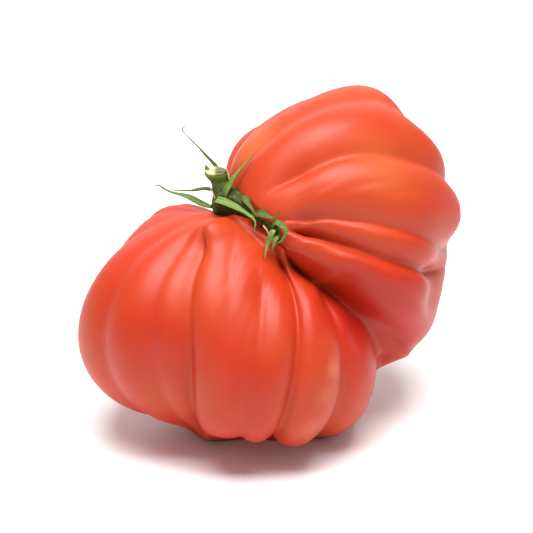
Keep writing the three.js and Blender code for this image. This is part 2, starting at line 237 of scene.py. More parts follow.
def crease_group():
    """How deep one crease is at a turn and a share of the way."""
    tree = bpy.data.node_groups.new("Crease depth", "GeometryNodeTree")
    for name in ("Turn", "Crease Turn", "Way", "Depth", "Half Width", "Softness", "Start", "End"):
        tree.interface.new_socket(name, in_out="INPUT", socket_type="NodeSocketFloat")
    tree.interface.new_socket("Depth", in_out="OUTPUT", socket_type="NodeSocketFloat")
    tree.interface.new_socket("Fold", in_out="OUTPUT", socket_type="NodeSocketFloat")
    entry = tree.nodes.new("NodeGroupInput")
    turn, crease, way, depth, half, soft, start, end = (Wire(tree, socket) for socket in entry.outputs[:8])
    apart = (turn - crease).math("WRAP", turn - crease, 180, -180)
    flank = turn.math("EXPONENT", (soft - turn.math("SQRT", apart * apart + soft * soft)) / half)
    rise = way.step(start, start + CREASE_RISE)
    fall = 1 - way.step(end - CREASE_FALL, end)
    result = depth * flank * rise * fall
    narrow = turn.math("EXPONENT", 0 - apart * apart / (FOLD_HALF_WIDTH * FOLD_HALF_WIDTH))
    fold = narrow * rise * fall * depth.step(SHALLOW_CREASE, FOLDED_CREASE)
    leave = tree.nodes.new("NodeGroupOutput")
    tree.links.new(result.socket, leave.inputs[0])
    tree.links.new(fold.socket, leave.inputs[1])
    return tree


def cubic_share(way, station):
    """How much the turn at one station counts at a share of the way."""
    others = [other for other in STATIONS if other != station]
    product = 1
    for other in others:
        product = product * ((way - other) / (station - other))
    return product


def noise(vector, scale, detail=2.0, roughness=0.5):
    inputs = {"Vector": vector, "Scale": scale, "Detail": detail, "Roughness": roughness}
    return vector.node("ShaderNodeTexNoise", {}, inputs)


def fruit_tree():
    tree = bpy.data.node_groups.new("Ribbed fruit", "GeometryNodeTree")
    tree.interface.new_socket("Geometry", in_out="INPUT", socket_type="NodeSocketGeometry")
    sizes = {"Rib Fullness": RIB_FULLNESS, "Scar Depth": SCAR_DEPTH, "Fine Relief": FINE_RELIEF}
    for name, value in sizes.items():
        socket = tree.interface.new_socket(name, in_out="INPUT", socket_type="NodeSocketFloat")
        socket.default_value = value
    tree.interface.new_socket("Skin", in_out="INPUT", socket_type="NodeSocketMaterial")
    tree.interface.new_socket("Geometry", in_out="OUTPUT", socket_type="NodeSocketGeometry")
    entry = tree.nodes.new("NodeGroupInput")
    rib_fullness = Wire(tree, entry.outputs["Rib Fullness"])
    scar_depth = Wire(tree, entry.outputs["Scar Depth"])
    fine_relief = Wire(tree, entry.outputs["Fine Relief"])
    skin = Wire(tree, entry.outputs["Skin"])
    start = Wire(tree)

    # Facet columns: a few to each rib, so that they follow the creases
    edges = [0]
    for index, crease in enumerate(CREASES):
        lap = 360 if index + 1 == len(CREASES) else 0
        width = CREASES[(index + 1) % len(CREASES)][0][2] + lap - crease[0][2]
        edges.append(edges[-1] + max(LEAST_COLUMNS, round(width * FRUIT_COLUMNS_PER_DEGREE)))
    columns = edges[-1]
    sizes = {"Size X": float(columns), "Size Y": float(FRUIT_ROWS)}
    counts = {"Vertices X": columns + 1, "Vertices Y": FRUIT_ROWS + 1}
    grid = start.node("GeometryNodeMeshGrid", {}, {**sizes, **counts})
    place = start.node("GeometryNodeInputPosition")
    split = place.node("ShaderNodeSeparateXYZ", {}, {0: place})
    column = split + columns / 2
    row_share = Wire(tree, split.socket.node.outputs[1]) / FRUIT_ROWS + 0.5
    # The first row is one point in the scar and the last is the blossom's slot
    way = (row_share - ROW_CROWDING * start.math("SINE", row_share * (2 * math.pi))) * BLOSSOM_RING
    shares = [cubic_share(way, station) for station in STATIONS]
    first_three = start.combine(*shares[:3])
    crease_turns = []
    for turns, *_ in CREASES:
        crease_turns.append(first_three.vector("DOT_PRODUCT", first_three, turns[:3]) + turns[3] * shares[3])
    crease_turns.append(crease_turns[0] + 360)
    turn = crease_turns[0]
    for index in range(len(CREASES)):
        share = column.ramp(edges[index], edges[index + 1])
        turn = turn + (crease_turns[index + 1] - crease_turns[index]) * share

    # The direction of each point from the fruit's middle
    ring_way = start.math("MAXIMUM", way, SCAR_RING)
    side = start.math("SINE", ring_way * math.pi)
    up = start.math("COSINE", ring_way * math.pi)
    stem = (1 + up) / 2
    angle = turn * (math.pi / 180)
    sine = start.math("SINE", angle)
    cosine = start.math("COSINE", angle)
    across = (side + (1 - stem) * BLOSSOM_SLOT_HALF) * sine
    forward = side * cosine + stem * (STEM_SLOT_MIDDLE + STEM_SLOT_HALF * cosine)
    on_ring = across.vector("NORMALIZE", start.combine(across, 0 - forward, up))
    scar_pole = Vector((0, -STEM_SLOT_MIDDLE, 1)).normalized()
    near_scar = on_ring.blend("VECTOR", way.ramp(0, SCAR_RING), tuple(scar_pole), on_ring)
    towards = on_ring.vector("NORMALIZE", near_scar)

    # How far the flesh reaches that way
    total = None
    for centre, half, tilt in SWELLINGS:
        upright = Matrix.Rotation(math.radians(-tilt), 3, "Y")
        shrink = Matrix.Diagonal([1 / width for width in half])
        rows = shrink @ upright
        ray = start.combine(*(towards.vector("DOT_PRODUCT", towards, tuple(row)) for row in rows))
        inner = rows @ Vector(centre)
        along = ray.vector("DOT_PRODUCT", ray, tuple(inner))
        square = ray.vector("DOT_PRODUCT", ray, ray)
        root = start.math("SQRT", along * along - square * (inner.length_squared - 1))
        power = ((along + root) / square / BLEND_SIZE) ** BLEND_POWER
        total = power if total is None else total + power
    reach = total ** (1 / BLEND_POWER) * BLEND_SIZE + rib_fullness
    for turned, down, height, spread in RISES:
        lean = math.radians(down)
        peak = (
            math.sin(lean) * math.sin(math.radians(turned)),
            -math.sin(lean) * math.cos(math.radians(turned)),
            math.cos(lean),
        )
        closeness = towards.vector("DOT_PRODUCT", towards, peak) - 1
        reach = reach + height * start.math("EXPONENT", closeness / (1 - math.cos(math.radians(spread))))
    group = crease_group()
    hollow = None
    fold = None
    settings_of_a_crease = ("Depth", "Half Width", "Softness", "Start", "End")
    for crease_turn, (_, *numbers) in zip(crease_turns, CREASES):
        values = {"Turn": turn, "Crease Turn": crease_turn, "Way": way}
        values.update(zip(settings_of_a_crease, map(float, numbers)))
        cut = start.node("GeometryNodeGroup", {"node_tree": group}, values)
        hollow = cut if hollow is None else hollow + cut
        line = Wire(tree, cut.socket.node.outputs["Fold"])
        fold = line if fold is None else fold + line
    scar = 1 - way.step(0, SCAR_RING)
    lines = start.combine(sine * 3, cosine * 3, way * 1.6)
    lumps = noise(lines, 2.6, 3.0, 0.55)
    reach = reach - hollow - fold * FOLD_DEPTH - scar_depth * scar + (lumps - LUMP_TOP) * fine_relief
    spot = on_ring.vector("SCALE", towards, reach * MM)
    turned_spot = start.combine(*(spot.vector("DOT_PRODUCT", spot, tuple(row)) for row in LIE))
    placed = spot.vector("ADD", turned_spot, tuple(FRUIT_MIDDLE))
    resting = spot.vector("MAXIMUM", placed, (-1, -1, 0))
    moved = start.node("GeometryNodeSetPosition", {}, {"Geometry": grid, "Position": resting})

    # What the skin's colour follows: the creases, the scar, and lines that run along the ribs
    kept = moved
    for name, value in {"hollow": hollow, "fold": fold, "scar": scar}.items():
        values = {"Geometry": kept, "Name": name, "Value": value}
        kept = start.node("GeometryNodeStoreNamedAttribute", {"data_type": "FLOAT"}, values)
    values = {"Geometry": kept, "Name": "rib_lines", "Value": lines}
    kept = start.node("GeometryNodeStoreNamedAttribute", {"data_type": "FLOAT_VECTOR"}, values)
    joined = start.node("GeometryNodeMergeByDistance", {}, {"Geometry": kept, "Distance": 0.00001})
    smooth = start.node("GeometryNodeSetShadeSmooth", {}, {"Geometry": joined})
    real = start.node("GeometryNodeRealizeInstances", {}, {"Geometry": smooth})
    dressed = start.node("GeometryNodeSetMaterial", {}, {"Geometry": real, "Material": skin})
    leave = tree.nodes.new("NodeGroupOutput")
    tree.links.new(dressed.socket, leave.inputs[0])
    return tree


def grown(name, tree, inputs, start=None):
    """A plain mesh of what a tree of nodes makes, with its place in the mesh."""
    maker = bpy.data.objects.new(name + "_maker", start or bpy.data.meshes.new(name + "_start"))
    bpy.context.scene.collection.objects.link(maker)
    modifier = maker.modifiers.new("Grow", "NODES")
    modifier.node_group = tree
    for item in tree.interface.items_tree:
        if item.item_type == "SOCKET" and item.in_out == "INPUT" and item.name in inputs:
            modifier[item.identifier] = inputs[item.name]
    ready = maker.evaluated_get(bpy.context.evaluated_depsgraph_get())
    mesh = bpy.data.meshes.new_from_object(ready)
    mesh.name = name
    bpy.data.objects.remove(maker)
    made = bpy.data.objects.new(name, mesh)
    bpy.context.scene.collection.objects.link(made)
    return made


def close_slot(piece):
    """Join the two sides of the blossom's slot with short faces across it."""
    body = bmesh.new()
    body.from_mesh(piece.data)
    rim = [edge for edge in body.edges if edge.is_boundary]
    filled = bmesh.ops.holes_fill(body, edges=rim, sides=len(rim))
    made = bmesh.ops.triangulate(body, faces=filled["faces"], ngon_method="BEAUTY")
    for face in made["faces"]:
        face.smooth = True
    body.to_mesh(piece.data)
    body.free()


def new_material(name):
    """A material, its Principled shader and a start for its node sums."""
    material = bpy.data.materials.new(name)
    material.use_nodes = True
    shader = next(node for node in material.node_tree.nodes if node.type == "BSDF_PRINCIPLED")
    return material, shader, Wire(material.node_tree)


def feed(shader, start, **values):
    """Set the shader's sockets: a wire is linked and a number or colour is set."""
    for name, value in values.items():
        socket = shader.inputs[name.replace("_", " ")]
        if isinstance(value, Wire):
            start.tree.links.new(value.socket, socket)
        else:
            socket.default_value = value


def parts_of(vector):
    """The x, y and z of a vector."""
    split = vector.node("ShaderNodeSeparateXYZ", {}, {0: vector})
    return [Wire(vector.tree, socket) for socket in split.socket.node.outputs]


def attribute(start, name, output="Fac"):
    return start.node("ShaderNodeAttribute", {"attribute_name": name}, {}, output)


def patch(place, cloud, centre, radius):
    """1 in a ragged patch of the skin and 0 away from it."""
    middle = FRUIT_MIDDLE + Vector(centre) * MM
    away = place.vector("LENGTH", place.vector("SUBTRACT", place, tuple(middle))) / MM
    ragged = away + (cloud - 0.5) * radius
    return 1 - ragged.step(radius * 0.3, radius)


def skin_material():
    material, shader, start = new_material("tomato_skin")
    place = start.node("ShaderNodeTexCoord", {}, {}, "Object")
    height = parts_of(place)[2] / MM
    hollow = attribute(start, "hollow")
    ripe = (0.49, 0.054, 0.008, 1)
    shaded_red = (0.36, 0.003, 0.001, 1)
    orange = (0.58, 0.135, 0.026, 1)
    highlight_coral = (0.65, 0.245, 0.115, 1)
    yellow = (0.70, 0.33, 0.08, 1)
    cork_and_shade = (0.09, 0.03, 0.012, 1)

    # Ripe red with orange clouds and streaks. Painted light makes it more orange higher up, a painted
    # sheen from the light above, and paler on the crests of the ribs, a painted highlight that is stronger
    # higher up
    cloud = noise(place, 34.0, 3.0)
    streak = noise(attribute(start, "rib_lines", "Vector"), 7.0, 4.0, 0.6)
    colour = start.blend("RGBA", cloud.step(0.42, 0.68) * 0.55, ripe, orange)
    colour = start.blend("RGBA", streak.step(0.45, 0.75) * 0.5, colour, orange)
    # Painted sheen: the upper side is made more orange, as the light from above would make it.
    colour = start.blend("RGBA", height.step(35, 85) * 0.35, colour, orange)
    # Painted highlight: the rib crests are made paler, more so higher up.
    crest_highlight = (1 - hollow.step(0.6, 3)) * (0.2 + 0.55 * height.step(15, 70))
    colour = start.blend("RGBA", crest_highlight, colour, highlight_coral)
    # The first table darkens the skin with painted shade and the second makes it paler, one of its patches a
    # painted highlight.
    for patches, tint in ((SHADE_PATCHES, shaded_red), (PALE_AND_HIGHLIGHT_PATCHES, yellow)):
        for centre, radius, strength in patches:
            share = patch(place, cloud, centre, radius) * strength
            colour = start.blend("RGBA", share, colour, tint)

    # Small paler pores, painted shade that makes the creases deep red, and the brown corky scar, made near
    # black by painted shade in its hollow
    pore = start.node("ShaderNodeTexVoronoi", {}, {"Vector": place, "Scale": PORES_PER_METRE})
    colour = start.blend("RGBA", (1 - pore.step(0.1, 0.3)) * 0.3, colour, orange)
    # Painted shade: deep red in the creases, and darker still in the narrow folds at their bottoms.
    crease = hollow.step(1, 4.8) * 0.85 + attribute(start, "fold") * 0.3
    colour = start.blend("RGBA", start.math("MINIMUM", crease, 0.95), colour, shaded_red)
    # Partly painted shade: the brown corky scar is darkened to near black where it lies in its hollow.
    scar = attribute(start, "scar").step(0.15, 0.5) * 0.9
    colour = start.blend("RGBA", scar, colour, cork_and_shade)
    speck = noise(place, 2600.0, 1.0)
    grain = {"Strength": 0.05, "Distance": BUMP_HEIGHT, "Height": speck}
    wax = 0.25 * height.step(10, 60) * (1 - start.math("MINIMUM", crease * 1.6, 1))
    feed(
        shader,
        start,
        Base_Color=colour,
        Roughness=0.40 + 0.1 * cloud,
        Normal=start.node("ShaderNodeBump", {}, grain),
        Subsurface_Weight=0.12,
        Subsurface_Radius=(1.0, 0.25, 0.1),
        Subsurface_Scale=0.004,
        Specular_IOR_Level=0.3,
        Coat_Weight=wax,
        Coat_Roughness=0.16,
    )
    return material


skin = skin_material()
fruit = grown("tomato_fruit", fruit_tree(), {"Skin": skin})
close_slot(fruit)
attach(fruit, "root")
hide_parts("fruit")


# The calyx: the green star that held the flower. A low fleshy ridge runs along the stem scar, and
# slim hairy sepals grow out of it, some upright and some curled over the fruit, netted with pale
# veins and dry and brown at their tips. A few dry threads hang between them.
BLADE_FOLD = 0.45  # how far a sepal's edges are raised, as a share of its half width
CRUMPLE = 0.22  # mm; fine unevenness of the sepals and the ridge
HAIRS_PER_MM2 = 2.2
HAIR_LENGTH = 0.7
HAIR_RADIUS = 0.022
HAIR_LEAN = 0.6  # radians that a hair leans at most from upright
VEIN_CELLS_PER_METRE = 1500.0

# Lines from the root outwards: kind, tone from dark (0) to light (1), and stops of x, y, z from the
# fruit's middle and two half widths, in mm
RIDGE, BLADE, THREAD, HAIR = 0, 1, 2, 3
CALYX_LINES = [
    (RIDGE, 0.1, [(-18, 5, 17, 3.2, 2.6), (-17.5, -1, 19.5, 4.4, 3.2), (-15, -6.4, 23.4, 3.8, 5),
                  (-8.4, -11.6, 22, 1.8, 1.9), (-3.6, -17.6, 20.8, 1.9, 1.9),
                  (-2.6, -19.6, 18, 1.5, 1.3)]),
    (BLADE, 0.25, [(-17, 4, 18.5, 0.7, 0.3), (-18.8, 5.2, 26.6, 0.62, 0.3), (-24.2, 8.5, 32.4, 0.6, 0.3),
                   (-29.2, 11.5, 36.8, 0.55, 0.3), (-29.6, 12, 37.9, 0.55, 0.3),
                   (-29, 12, 38.6, 0.5, 0.25)]),
    (BLADE, 0.3, [(-17.5, 2, 20, 0.8, 0.35), (-22, 2.5, 23.4, 0.75, 0.35), (-27.5, 5.5, 21.8, 0.75, 0.35),
                  (-33, 9, 20.5, 0.6, 0.3)]),
    (BLADE, 0.5, [(-17.5, -1.5, 20, 0.8, 0.35), (-22.5, -3, 20.8, 0.85, 0.4), (-28, 0, 22.3, 0.95, 0.4),
                  (-33, 2.4, 22.8, 0.9, 0.4), (-36.2, 4, 24.1, 0.85, 0.35),
                  (-37.6, 4.6, 23.6, 0.8, 0.3)]),
    (BLADE, 0.8, [(-16, -4, 20, 0.9, 0.4), (-17.4, -8.4, 25.6, 1.4, 0.45), (-14.6, -7.4, 32, 1.45, 0.45),
                  (-9.6, -4.2, 37.2, 0.95, 0.3)]),
    (BLADE, 1, [(-18.6, -5, 21.5, 0.9, 0.4), (-19.8, -8.4, 25, 1.05, 0.4), (-16.4, -12.2, 25.6, 1.05, 0.4),
                (-12, -15.4, 24.4, 1.1, 0.4), (-9.4, -17.6, 22.8, 0.95, 0.35),
                (-9.8, -18.6, 19.9, 0.85, 0.3)]),
    (BLADE, 0.45, [(-13.6, -8, 23, 0.9, 0.4), (-12.8, -9.8, 26.6, 1.05, 0.4), (-11, -13, 25.6, 1.1, 0.4),
                   (-9, -16.4, 23.8, 0.8, 0.3)]),
    (BLADE, 0.4, [(-10.5, -12.5, 22, 0.9, 0.4), (-7.6, -16.6, 24.4, 1.2, 0.5), (-4.4, -18.6, 24.2, 1, 0.45),
                  (-2.6, -19, 26.4, 0.7, 0.35)]),
    (BLADE, 0.55, [(-5, -17.5, 20.5, 0.8, 0.4), (-3.4, -19.8, 23.4, 0.8, 0.4), (-1, -21.6, 21.8, 0.95, 0.4),
                   (-2.2, -22.4, 19.2, 0.9, 0.35), (-4, -22.6, 18.4, 0.7, 0.3)]),
    (BLADE, 0.95, [(-4.2, -18.5, 20, 0.7, 0.4), (-4.6, -21.4, 21.4, 0.75, 0.4), (-6, -21.8, 17.8, 0.95, 0.35),
                   (-6.9, -23.8, 14.4, 0.6, 0.3)]),
    (BLADE, 0.7, [(-3.4, -19, 19, 0.7, 0.35), (-3.8, -22, 19.6, 0.8, 0.35), (-5, -22.8, 15.8, 0.6, 0.3)]),
    (BLADE, 0.4, [(-18, 4, 17.5, 0.9, 0.35), (-19.5, 7.5, 20.5, 0.9, 0.3), (-19.5, 11, 19, 0.6, 0.25)]),
    (BLADE, 0.4, [(-16.5, 4, 18, 0.9, 0.35), (-13.5, 8.5, 25, 0.9, 0.3), (-12, 13.5, 30.5, 0.6, 0.25)]),
    (THREAD, 0.3, [(-17.9, 1.2, 31.2, 0.12, 0.12), (-17.1, 0, 30.2, 0.14, 0.14),
                   (-16.6, -1.2, 28.4, 0.16, 0.16), (-15.8, -2.2, 26.2, 0.2, 0.2)]),
    (THREAD, 0.6, [(-21.8, -3.2, 26.4, 0.16, 0.14), (-21, -4, 25, 0.2, 0.16),
                   (-20.4, -4.6, 23.4, 0.24, 0.2)]),
    (THREAD, 0.6, [(-7.2, -22, 23.6, 0.2, 0.15), (-6.2, -22.6, 22.4, 0.2, 0.15),
                   (-5.6, -22.4, 20.8, 0.16, 0.15)]),
    (THREAD, 0.2, [(-33.6, 2.4, 22.8, 0.12, 0.12), (-35.4, 2.6, 22.2, 0.12, 0.12),
                   (-37, 3, 20.8, 0.1, 0.1)]),
]


def lines_mesh(name, lines):
    """Open lines whose points carry the half widths, kind and tone."""
    points = []
    edges = []
    values = {"half_wide": [], "half_thick": [], "kind": [], "tone": []}
    for kind, tone, stops in lines:
        for index, (x, y, z, wide, thick) in enumerate(stops):
            if index:
                edges.append((len(points) - 1, len(points)))
            points.append(FRUIT_MIDDLE + Vector((x, y, z)) * MM)
            for key, value in zip(values, (wide * MM, thick * MM, kind, tone)):
                values[key].append(value)
    mesh = bpy.data.meshes.new(name)
    mesh.from_pydata(points, edges, [])
    for key, numbers in values.items():
        mesh.attributes.new(key, "FLOAT", "POINT").data.foreach_set("value", numbers)
    return mesh


def named(start, name, data_type="FLOAT"):
    return start.node("GeometryNodeInputNamedAttribute", {"data_type": data_type}, {"Name": name})


def captured(geometry, kind, value):
    """The geometry, and a value that stays with it as it is here."""
    keeper = geometry.node("GeometryNodeCaptureAttribute", {}, {0: geometry})
    node = keeper.socket.node
    node.capture_items.new(kind, "Value")
    geometry.tree.links.new(value.socket, node.inputs[1])
    return keeper, Wire(geometry.tree, node.outputs[1])


def swept(lines, sides, axes):
    """A closed body along each line: its mesh and, for each point of it, the line's point, both
    axes of the section, the place on the round section and the share of the way along."""
    curve = lines.node("GeometryNodeMeshToCurve", {}, {0: lines})
    curve = lines.node("GeometryNodeCurveSplineType", {"spline_type": "CATMULL_ROM"}, {0: curve})
    curve = lines.node("GeometryNodeSetSplineResolution", {}, {0: curve, "Resolution": 9})
    curve = lines.node("GeometryNodeResampleCurve", {"mode": "EVALUATED"}, {0: curve})
    place = lines.node("GeometryNodeInputPosition")
    share = lines.node("GeometryNodeSplineParameter")
    wide_axis, thick_axis = axes(lines, place, lines.node("GeometryNodeInputTangent"))
    curve, middle = captured(curve, "VECTOR", place)
    curve, wide_axis = captured(curve, "VECTOR", wide_axis)
    curve, thick_axis = captured(curve, "VECTOR", thick_axis)
    curve, along = captured(curve, "FLOAT", share)
    circle = lines.node("GeometryNodeCurvePrimitiveCircle", {}, {"Resolution": sides, "Radius": 1.0})
    circle, ring = captured(circle, "VECTOR", place)
    body = lines.node("GeometryNodeCurveToMesh", {}, {0: curve, 1: circle, "Scale": MM, "Fill Caps": True})
    return body, middle, wide_axis, thick_axis, ring, along


def away_axes(start, place, tangent):
    """Across the line, and away from the fruit."""
    away = place.vector("NORMALIZE", place.vector("SUBTRACT", place, tuple(FRUIT_MIDDLE)))
    wide = place.vector("NORMALIZE", place.vector("CROSS_PRODUCT", away, tangent))
    return wide, place.vector("CROSS_PRODUCT", tangent, wide)


def level_axes(start, place, tangent):
    """Right and back."""
    return start.combine(1.0, 0.0, 0.0), start.combine(0.0, 1.0, 0.0)


def set_points(body, middle, wide_axis, thick_axis, across, up):
    """Put each point of a swept body at its place across the line and up from it."""
    sideways = middle.vector("SCALE", wide_axis, across)
    upwards = middle.vector("SCALE", thick_axis, up)
    offset = middle.vector("ADD", sideways, upwards)
    spot = middle.vector("ADD", middle, offset)
    return body.node("GeometryNodeSetPosition", {}, {0: body, "Position": spot})


def stored(geometry, **values):
    for name, value in values.items():
        inputs = {0: geometry, "Name": name, "Value": value}
        geometry = geometry.node("GeometryNodeStoreNamedAttribute", {"data_type": "FLOAT"}, inputs)
    return geometry


def of_kind(lines, kind):
    chosen = lines.math("COMPARE", named(lines, "kind"), kind, 0.1)
    return lines.node("GeometryNodeSeparateGeometry", {"domain": "POINT"}, {0: lines, "Selection": chosen})


def with_hairs(body, density, length, seed):
    """Fine short hairs that stand on the body, each a slim spike."""
    settings = {"distribute_method": "RANDOM"}
    inputs = {0: body, "Density": density, "Seed": seed}
    points = body.node("GeometryNodeDistributePointsOnFaces", settings, inputs)
    rotation = Wire(body.tree, points.socket.node.outputs["Rotation"])
    sizes = {"Vertices": 3, "Radius Top": 0.0, "Radius Bottom": HAIR_RADIUS * MM, "Depth": length}
    spike = body.node("GeometryNodeMeshCone", {"fill_type": "NONE"}, sizes)
    most = (HAIR_LEAN, HAIR_LEAN, 3)
    least = (-HAIR_LEAN, -HAIR_LEAN, -3)
    inputs = {0: least, 1: most, "Seed": seed}
    spread = body.node("FunctionNodeRandomValue", {"data_type": "FLOAT_VECTOR"}, inputs)
    lean = body.node("FunctionNodeEulerToRotation", {}, {0: spread})
    turned = body.node("FunctionNodeRotateRotation", {"rotation_space": "LOCAL"}, {0: rotation, 1: lean})
    size = body.node("FunctionNodeRandomValue", {"data_type": "FLOAT"}, {"Seed": seed + 1}, 1)
    for socket, value in zip(size.socket.node.inputs[2:4], (0.4, 1.0)):
        socket.default_value = value
    inputs = {0: points, "Instance": spike, "Rotation": turned, "Scale": size}
    hairs = body.node("GeometryNodeInstanceOnPoints", {}, inputs)
    real = body.node("GeometryNodeRealizeInstances", {}, {0: hairs})
    real = stored(real, kind=float(HAIR), tone=0.5, along=0.3, side=0.0)
    joined = body.node("GeometryNodeJoinGeometry")
    for part in (real, body):
        body.tree.links.new(part.socket, joined.socket.node.inputs[0])
    return joined


def dressed_tree(name):
    """A tree with lines and a material coming in and geometry going out."""
    tree = bpy.data.node_groups.new(name, "GeometryNodeTree")
    tree.interface.new_socket("Geometry", in_out="INPUT", socket_type="NodeSocketGeometry")
    tree.interface.new_socket("Finish", in_out="INPUT", socket_type="NodeSocketMaterial")
    tree.interface.new_socket("Hair Length", in_out="INPUT", socket_type="NodeSocketFloat")
    tree.interface.new_socket("Hair Density", in_out="INPUT", socket_type="NodeSocketFloat")
    tree.interface.new_socket("Geometry", in_out="OUTPUT", socket_type="NodeSocketGeometry")
    entry = tree.nodes.new("NodeGroupInput")
    return tree, [Wire(tree, socket) for socket in entry.outputs[:4]]


def send_out(tree, body, finish):
    smooth = body.node("GeometryNodeSetShadeSmooth", {}, {0: body})
    real = body.node("GeometryNodeRealizeInstances", {}, {0: smooth})
    painted = body.node("GeometryNodeSetMaterial", {}, {0: real, "Material": finish})
    leave = tree.nodes.new("NodeGroupOutput")
    tree.links.new(painted.socket, leave.inputs[0])


def calyx_tree():
    tree, (lines, finish, hair_length, hair_density) = dressed_tree("Sepals on a ridge")
    place = lines.node("GeometryNodeInputPosition")

    # Sepals: slim pointed blades with raised wavy edges
    body, middle, wide_axis, thick_axis, ring, along = swept(of_kind(lines, BLADE), 14, away_axes)
    ring_x, ring_y, _ = parts_of(ring)
    swell = 0.62 + 0.38 * lines.math("SINE", lines.math("MINIMUM", along * 1.5, 1) * math.pi)
    taper = (1 - 0.6 * along.step(0.45, 1)) * (1 - along.step(0.94, 1.02))
    width = named(lines, "half_wide") * swell * taper
    waves = noise(middle, 260.0) - 0.5
    edge = ring_x * ring_x
    rise = (BLADE_FOLD * edge + waves * edge * 1.1) * width
    rib = lines.math("EXPONENT", 0 - edge * 40) * lines.math("ABSOLUTE", ring_y) * 0.35
    thickness = named(lines, "half_thick") * (1 - 0.6 * edge) * (1 - 0.5 * along)
    height = ring_y * (1 + rib) * thickness + rise
    blades = set_points(body, middle, wide_axis, thick_axis, ring_x * width, height)
    blades = stored(blades, along=along, side=ring_x)

    # The ridge, furrowed along its length
    body, middle, wide_axis, thick_axis, ring, along = swept(of_kind(lines, RIDGE), 40, away_axes)
    ring_x, ring_y, _ = parts_of(ring)
    ends = 0.5 + 0.5 * along.step(0, 0.08) * (1 - along.step(0.9, 1))
    angle = lines.math("ARCTAN2", ring_y, ring_x)
    furrows = 1 + 0.07 * lines.math("SINE", angle * 9 + along * 7) + 0.25 * (noise(middle, 420.0, 3.0) - 0.5)
    width = named(lines, "half_wide") * ends * furrows
    height = named(lines, "half_thick") * ends * furrows
    ridge = set_points(body, middle, wide_axis, thick_axis, ring_x * width, ring_y * height)
    ridge = stored(ridge, along=along, side=ring_x)

    # Dry threads
    body, middle, wide_axis, thick_axis, ring, along = swept(of_kind(lines, THREAD), 6, away_axes)
    ring_x, ring_y, _ = parts_of(ring)
    width = named(lines, "half_wide")
    height = named(lines, "half_thick")
    threads = set_points(body, middle, wide_axis, thick_axis, ring_x * width, ring_y * height)
    threads = stored(threads, along=along, side=ring_x)

    joined = lines.node("GeometryNodeJoinGeometry")
    for part in (blades, ridge):
        tree.links.new(part.socket, joined.socket.node.inputs[0])
    crumple = noise(place, 900.0, 3.0) - 0.5
    facing = lines.node("GeometryNodeInputNormal")
    offset = facing.vector("SCALE", facing, crumple * CRUMPLE * MM)
    creased = lines.node("GeometryNodeSetPosition", {}, {0: joined, "Offset": offset})
    hairy = with_hairs(creased, hair_density, hair_length, 5)
    everything = lines.node("GeometryNodeJoinGeometry")
    for part in (hairy, threads):
        tree.links.new(part.socket, everything.socket.node.inputs[0])
    send_out(tree, everything, finish)
    return tree


def is_kind(kind, wanted):
    return kind.math("COMPARE", kind, wanted, 0.4)


def calyx_material():
    material, shader, start = new_material("sepal_green")
    place = start.node("ShaderNodeTexCoord", {}, {}, "Object")
    along = attribute(start, "along")
    side = attribute(start, "side")
    tone = attribute(start, "tone")
    kind = attribute(start, "kind")
    on_blade = is_kind(kind, BLADE)
    dark = (0.022, 0.032, 0.005, 1)
    middle = (0.05, 0.10, 0.008, 1)
    light = (0.11, 0.18, 0.022, 1)
    netting = (0.30, 0.38, 0.11, 1)
    olive = (0.085, 0.085, 0.014, 1)
    dry = (0.11, 0.055, 0.022, 1)
    straw = (0.50, 0.36, 0.20, 1)
    hair = (0.3, 0.36, 0.12, 1)

    # Greens from dark to light, olive furrows on the ridge and pale netted veins on the sepals
    patches = noise(place, 520.0, 4.0, 0.6)
    mottled = tone + (patches - 0.5) * 0.5
    colour = start.blend("RGBA", mottled.ramp(0, 0.5), dark, middle)
    colour = start.blend("RGBA", mottled.ramp(0.45, 1.05), colour, light)
    grain = place.vector("MULTIPLY", place, (1.0, 1.0, 0.3))
    furrows = noise(grain, 900.0, 4.0, 0.65).step(0.48, 0.62) * is_kind(kind, RIDGE) * 0.7
    colour = start.blend("RGBA", furrows, colour, olive)
    settings = {"feature": "DISTANCE_TO_EDGE"}
    cells = start.node("ShaderNodeTexVoronoi", settings, {"Vector": place, "Scale": VEIN_CELLS_PER_METRE})
    midrib = 1 - start.math("ABSOLUTE", side).step(0.05, 0.2)
    vein = (1 - cells.step(0.01, 0.12)) * 0.5 + midrib * 0.4
    colour = start.blend("RGBA", vein * on_blade * tone, colour, netting)

    # Brown tips, straw threads and pale hairs
    tip = (along + (patches - 0.5) * 0.3).step(0.86, 1.02)
    colour = start.blend("RGBA", tip * on_blade, colour, dry)
    colour = start.blend("RGBA", is_kind(kind, THREAD), colour, straw)
    colour = start.blend("RGBA", is_kind(kind, HAIR) * 0.6, colour, hair)
    bumps = {"Strength": 0.5, "Distance": BUMP_HEIGHT, "Height": cells + patches}
    feed(
        shader,
        start,
        Base_Color=colour,
        Roughness=0.55 + 0.2 * patches,
        Normal=start.node("ShaderNodeBump", {}, bumps),
        Specular_IOR_Level=0.25,
        Subsurface_Weight=0.08,
        Subsurface_Radius=(0.3, 0.6, 0.1),
        Subsurface_Scale=0.001,
    )
    return material


calyx_inputs = {
    "Finish": calyx_material(),
    "Hair Length": HAIR_LENGTH * MM,
    "Hair Density": HAIRS_PER_MM2 / MM / MM,
}
calyx = grown("tomato_calyx", calyx_tree(), calyx_inputs, lines_mesh("calyx_lines", CALYX_LINES))
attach(calyx, "root")
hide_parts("calyx")


